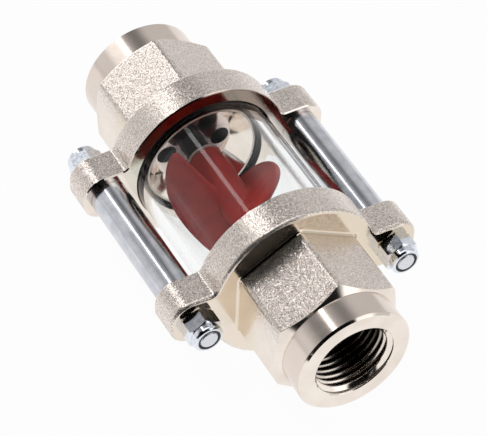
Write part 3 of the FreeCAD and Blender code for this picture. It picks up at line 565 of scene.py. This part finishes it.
# Lock nut inserts. Four rings of black plastic, held under the rolled collars of the nuts. Each grips
# the end of its stud, so that the nut doesn't work loose.
INSERT = (0.016, 0.016, 0.018, 1.0)
INSERT_WORN = (0.05, 0.05, 0.055, 1.0)
SCUFFS, SCUFF_LEVELS = (2.0, 3.0, 0.6), (0.5, 0.75)
INSERT_ROUGH, INSERT_RELIEF = (0.32, 0.52), 0.01
insert_plastic, wire = new_finish("insert_plastic")
scuffs = wire.noise(wire.spot(), *SCUFFS)
wire.node("BsdfPrincipled", {}, {
    "Base Color": scuffs.rise(*SCUFF_LEVELS).tint(INSERT, INSERT_WORN),
    "Roughness": scuffs.between(*INSERT_ROUGH),
    "Normal": wire.relief(scuffs, INSERT_RELIEF),
}).shown()
dress(insert_plastic, "lock_nut_inserts")

# Table. A plain white table top just under the flanges, which glows to the camera, in metal and through
# glass, and still takes the shadow. In metal it ends past the outlet, where the floor is dark.
TABLE_RINGS = [0.08, 0.2, 0.6, 1.5, 3.0, 6.0]
TABLE_SIDES, TABLE_GAP = 48, 0.00005
table_top = cad_box[0].z - TABLE_GAP
corners = [(0.0, 0.0, table_top)]
faces = []
for ring, reach in enumerate(TABLE_RINGS):
    for side in range(TABLE_SIDES):
        turn = 2 * math.pi * side / TABLE_SIDES
        corners.append((reach * math.cos(turn), reach * math.sin(turn), table_top))
        beside = (side + 1) % TABLE_SIDES
        here = 1 + ring * TABLE_SIDES
        if ring == 0:
            faces.append((0, here + side, here + beside))
        else:
            inner = here - TABLE_SIDES
            faces.append((inner + side, here + side, here + beside, inner + beside))
mesh = bpy.data.meshes.new("table")
mesh.from_pydata(corners, [], faces)
table = bpy.data.objects.new("table", mesh)
bpy.context.scene.collection.objects.link(table)

WHITE = (1.0, 1.0, 1.0, 1.0)
TABLE_WHITE = (0.86, 0.86, 0.855, 1.0)
DARK_FLOOR = (0.02, 0.02, 0.02, 1.0)
TABLE_END, TABLE_SIDE, TABLE_GLOW = (0.15, 0.19), (0.12, 0.04), 0.96
table_white, wire = new_finish("table_white")
camera_ray = wire.node("LightPath", {}, {}, "Is Camera Ray")
mirrored, passed = camera_ray.other("Is Glossy Ray"), camera_ray.other("Is Transmission Ray")
seen = camera_ray.math("MAXIMUM", camera_ray, camera_ray.math("MAXIMUM", mirrored, passed))
place = wire.node("SeparateXYZ", {}, {0: wire.node("TexCoord", {}, {}, "Object")})
past_edge = place.rise(*TABLE_END) * place.other("Y").rise(*TABLE_SIDE)
paint = wire.node("BsdfDiffuse", {}, {"Color": TABLE_WHITE})
glow = wire.node("Emission", {}, {"Color": WHITE, "Strength": 1.0})
sheet = wire.node("MixShader", {}, {0: seen * TABLE_GLOW, 1: paint, 2: glow})
dark = wire.node("BsdfDiffuse", {}, {"Color": DARK_FLOOR})
wire.node("MixShader", {}, {0: mirrored * (1 - passed) * past_edge, 1: sheet, 2: dark}).shown()
mesh.materials.append(table_white)

# Room. A pale studio with a bright ceiling, a lit wall on each side and a long lamp overhead. The side
# behind the camera is dark, which draws the dark lines in the metal. To the camera it is plain white.
ROOM_LEVEL, RIGHT_LEVEL, LEFT_LEVEL, CEILING_LEVEL = 0.42, 0.24, 0.38, 1.1
WINDOW_LEVEL, BACK_LEVEL, GAP_LOSS, NEAR_LOSS = 0.7, 1.7, 0.22, 0.5
LEAST_LEVEL, DARK_LOSS = 0.02, 0.985
DEGREES = math.degrees(1)

# Soft edges in degrees, round the flow axis from the right wall over the ceiling to the left one.
RIGHT_WALL = (72, 54)
GAP_START, GAP_STOP = (62, 80), (104, 84)
LEFT_START, LEFT_STOP = (134, 150), (190, 170)
NEAR_START, NEAR_STOP = (110, 118), (162, 148)
BACK_START, BACK_STOP = (106, 116), (150, 136)

# Soft edges in degrees round the upright axis, from the heading of the outlet.
WINDOW_START, WINDOW_STOP = (21, 26), (54, 44)
DARK_START, DARK_STOP = (-95, -80), (24, 19)

# Soft edges by how far a direction points up, or towards the outlet, from -1 to 1.
CEILING_FOOT, CEILING_END, WINDOW_TOP = (0.86, 0.93), (0.3, 0.1), (0.75, 0.6)
DARK_FOOT, DARK_TOP = (0.0, 0.02), (0.97, 0.90)
NEAR_END, BACK_END = (-0.58, -0.53), (-0.62, -0.68)

world = bpy.data.worlds.new("studio")
bpy.context.scene.world = world
world.use_nodes = True
world.node_tree.nodes.clear()
wire = Wire(world.node_tree)
x = wire.node("SeparateXYZ", {}, {0: wire.node("TexCoord", {}, {}, "Generated")})
y, z = x.other("Y"), x.other("Z")
round_axis = z.math("ARCTAN2", z, y) * DEGREES
compass = y.math("ARCTAN2", y, x) * DEGREES
right_wall = round_axis.rise(*RIGHT_WALL)
gap = round_axis.band(GAP_START, GAP_STOP)
left_wall = round_axis.band(LEFT_START, LEFT_STOP)
ceiling = z.rise(*CEILING_FOOT) * x.rise(*CEILING_END)
window = compass.band(WINDOW_START, WINDOW_STOP) * z.rise(*WINDOW_TOP)
back_glow = x.rise(*BACK_END) * round_axis.band(BACK_START, BACK_STOP)
near_shade = x.rise(*NEAR_END) * round_axis.band(NEAR_START, NEAR_STOP)
dark_side = compass.band(DARK_START, DARK_STOP) * z.band(DARK_FOOT, DARK_TOP)
room = ROOM_LEVEL + RIGHT_LEVEL * right_wall - GAP_LOSS * gap + LEFT_LEVEL * left_wall
room = room + CEILING_LEVEL * ceiling + WINDOW_LEVEL * window
room = room + BACK_LEVEL * back_glow - NEAR_LOSS * near_shade
room = room.math("MAXIMUM", room, LEAST_LEVEL) * (1 - DARK_LOSS * dark_side)
plain_view = wire.node("LightPath", {}, {}, "Is Camera Ray")
level = plain_view + (1 - plain_view) * room
backdrop = wire.node("Background", {}, {"Color": WHITE, "Strength": level})
wire.node("OutputWorld", {}, {"Surface": backdrop})

LAMP_HEADING, LAMP_DISTANCE = Vector((-0.50, -0.30, 0.81)), 1.1
LAMP_LENGTH, LAMP_WIDTH, LAMP_RADIANCE = 1.8, 0.095, 3.8
flow_axis = Vector((1, 0, 0))
lamp = bpy.data.lights.new("overhead_lamp", "AREA")
lamp.shape = "RECTANGLE"
lamp.size, lamp.size_y = LAMP_LENGTH, LAMP_WIDTH
lamp.energy = LAMP_RADIANCE * math.pi * LAMP_LENGTH * LAMP_WIDTH
hung_lamp = bpy.data.objects.new("overhead_lamp", lamp)
away = LAMP_HEADING.normalized()
long_side = (flow_axis - away * away.dot(flow_axis)).normalized()
turn = Matrix((long_side, away.cross(long_side), away)).transposed().to_4x4()
hung_lamp.matrix_world = Matrix.Translation(away * LAMP_DISTANCE) @ turn
bpy.context.scene.collection.objects.link(hung_lamp)

# Camera. A long lens above the outlet end, as far away as the photograph's perspective asks, with the
# photograph's slight roll and the small shift that its framing needs.
AZIMUTH, ELEVATION, ROLL = math.radians(59.436), math.radians(46.449), math.radians(2.531)
DISTANCE, SENSOR_WIDTH = 0.668203, 36.0
FRAME_WIDTH, FOCAL_PIXELS = 487, 2751.947
SHIFT_RIGHT, SHIFT_UP = 0.00528, -0.01906
lens = bpy.data.cameras.new("camera")
lens.sensor_fit = "HORIZONTAL"
lens.sensor_width = SENSOR_WIDTH
lens.lens = SENSOR_WIDTH * FOCAL_PIXELS / FRAME_WIDTH
lens.shift_x, lens.shift_y = SHIFT_RIGHT, SHIFT_UP
camera = bpy.data.objects.new("camera", lens)
level_back = Vector((math.sin(AZIMUTH), -math.cos(AZIMUTH), 0.0)) * math.cos(ELEVATION)
back = level_back + Vector((0.0, 0.0, math.sin(ELEVATION)))
right = Vector((math.cos(AZIMUTH), math.sin(AZIMUTH), 0.0))
up = back.cross(right)
tilted_right = right * math.cos(ROLL) + up * math.sin(ROLL)
tilted_up = up * math.cos(ROLL) - right * math.sin(ROLL)
turn = Matrix((tilted_right, tilted_up, back)).transposed().to_4x4()
camera.matrix_world = Matrix.Translation(back * DISTANCE) @ turn
bpy.context.scene.collection.objects.link(camera)
bpy.context.scene.camera = camera
bpy.context.scene.view_settings.view_transform = "Standard"
